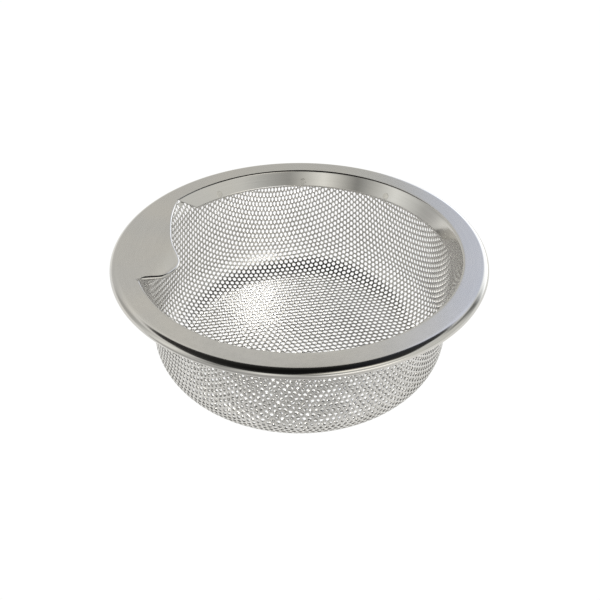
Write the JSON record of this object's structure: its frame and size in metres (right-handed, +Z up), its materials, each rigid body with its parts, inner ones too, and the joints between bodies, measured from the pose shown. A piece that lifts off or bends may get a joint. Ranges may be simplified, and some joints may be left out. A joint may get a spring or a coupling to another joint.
{
  "type": "sink drain basket strainer",
  "caption": "Perforated round steel strainer cup hung from a wide flat rim with a rolled edge and a finger tab; drops into a kitchen sink drain to catch scraps.",
  "frame": {"origin": "centre of the flat base, on its underside", "axes": "+Z up along the cup's axis, towards the open mouth; -X towards the finger tab"},
  "size_m": [0.145, 0.145, 0.05],
  "materials": {
    "rim_steel": "satin, fine circular brushing, bright at the rolled edge",
    "perforated_steel": "semi-bright, round holes drilled right through in a staggered pattern",
    "weld_steel": "dull, slightly heat-darkened"
  },
  "bodies": {
    "root": {"rim_ring": "rim_steel", "perforated_cup": "perforated_steel", "spot_welds": "weld_steel"}
  },
  "joints": []
}
